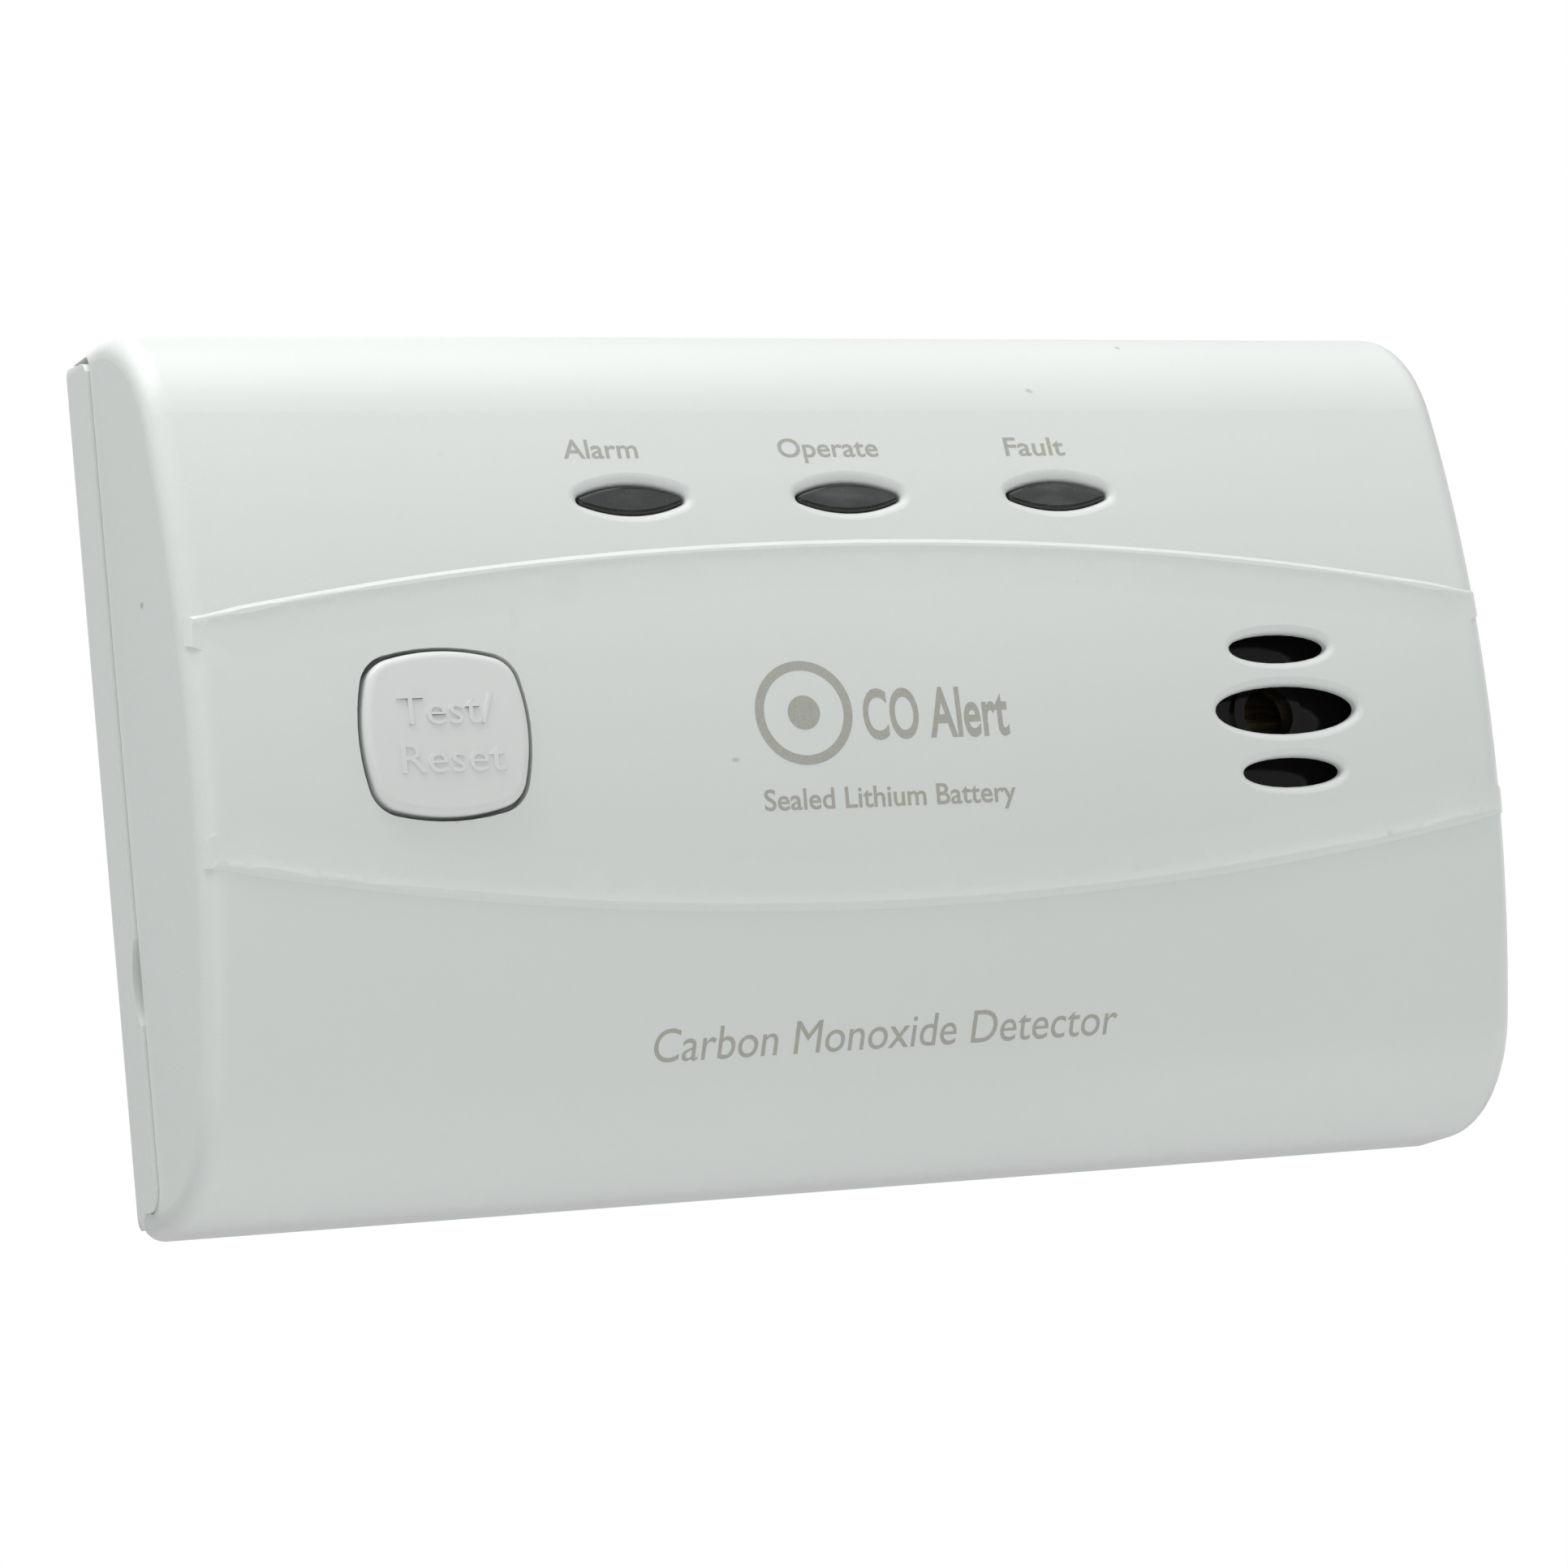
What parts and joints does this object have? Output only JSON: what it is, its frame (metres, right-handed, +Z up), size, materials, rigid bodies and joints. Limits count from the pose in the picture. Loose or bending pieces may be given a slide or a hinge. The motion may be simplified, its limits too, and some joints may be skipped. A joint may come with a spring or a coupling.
{
  "type": "carbon monoxide detector",
  "caption": "Low wall-hung carbon monoxide detector: D-section white case, raised lens-shaped band, test button, smoked indicator windows, oval sounder vents, slide-off bracket.",
  "frame": {"origin": "centre of the case on the wall face, which is the back of the bracket", "axes": "+X to the right across the front, +Y into the wall, +Z up"},
  "size_m": [0.127, 0.0235, 0.0768],
  "materials": {
    "case_white": "fine spark-eroded satin",
    "button_white": "smooth satin",
    "bracket_white": "satin",
    "smoked_lens": "clear smoked gloss",
    "sounder_black": "gloss",
    "board_green": "solder mask",
    "lamp_red": "clear tinted gloss",
    "lamp_green": "clear tinted gloss",
    "lamp_amber": "clear tinted gloss",
    "chip_black": "moulded epoxy",
    "resistor_black": "glazed chip",
    "ceramic_tan": "fired ceramic",
    "capacitor_sleeve": "shrink sleeve",
    "coil_copper": "enamelled wire",
    "disc_brass": "rolled sheet",
    "ceramic_white": "silvered ceramic",
    "contact_nickel": "nickel plate",
    "foam_black": "closed-cell foam",
    "sensor_steel": "drawn can",
    "sensor_cap_grey": "moulded cap",
    "cell_wrap": "shrink wrap",
    "screw_steel": "zinc plate",
    "switch_black": "moulded",
    "slider_black": "moulded",
    "label_white": "coated paper"
  },
  "bodies": {
    "wall_bracket": {"wall_bracket": "bracket_white"},
    "alarm": {"front_cover": "case_white", "rear_cover": "case_white", "test_switch_body": "switch_black", "circuit_board": "board_green", "controller_chip": "chip_black", "amplifier_chip": "chip_black", "resistors": "resistor_black", "ceramic_capacitors": "ceramic_tan", "electrolytic_capacitors": "capacitor_sleeve", "sounder_coil": "coil_copper", "sounder_housing": "sounder_black", "piezo_disc": "disc_brass", "piezo_ceramic": "ceramic_white", "sounder_contacts": "contact_nickel", "sounder_gasket": "foam_black", "co_sensor_body": "sensor_steel", "co_sensor_cap": "sensor_cap_grey", "co_sensor_leads": "contact_nickel", "battery_cell": "cell_wrap", "battery_tabs": "contact_nickel", "battery_pad": "foam_black", "activation_switch_body": "switch_black", "cover_screws": "screw_steel", "board_screws": "screw_steel", "rating_label": "label_white", "alarm_light_pipe": "smoked_lens", "operate_light_pipe": "smoked_lens", "fault_light_pipe": "smoked_lens", "alarm_led": "lamp_red", "operate_led": "lamp_green", "fault_led": "lamp_amber"},
    "test_button": {"test_button": "button_white"},
    "switch_plunger": {"switch_plunger": "slider_black"},
    "activation_slider": {"activation_slider": "slider_black"}
  },
  "joints": [
    {"name": "case_lift", "type": "slide", "parent": "wall_bracket", "child": "alarm", "axis": [0, 0, 1], "range_m": [0, 0.005]},
    {"name": "button_press", "type": "slide", "parent": "alarm", "child": "test_button", "axis": [0, 1, 0], "range_m": [0, 0.0008], "stiffness_N_per_m": 900, "springref_m": -0.0015},
    {"name": "plunger_travel", "type": "slide", "parent": "alarm", "child": "switch_plunger", "axis": [0, 1, 0], "range_m": [0, 0.0008]},
    {"name": "activation_slide", "type": "slide", "parent": "alarm", "child": "activation_slider", "axis": [1, 0, 0], "range_m": [0, 0.002]}
  ],
  "couplings": [
    {"joint": "plunger_travel", "follows": "button_press", "ratio": 1}
  ]
}
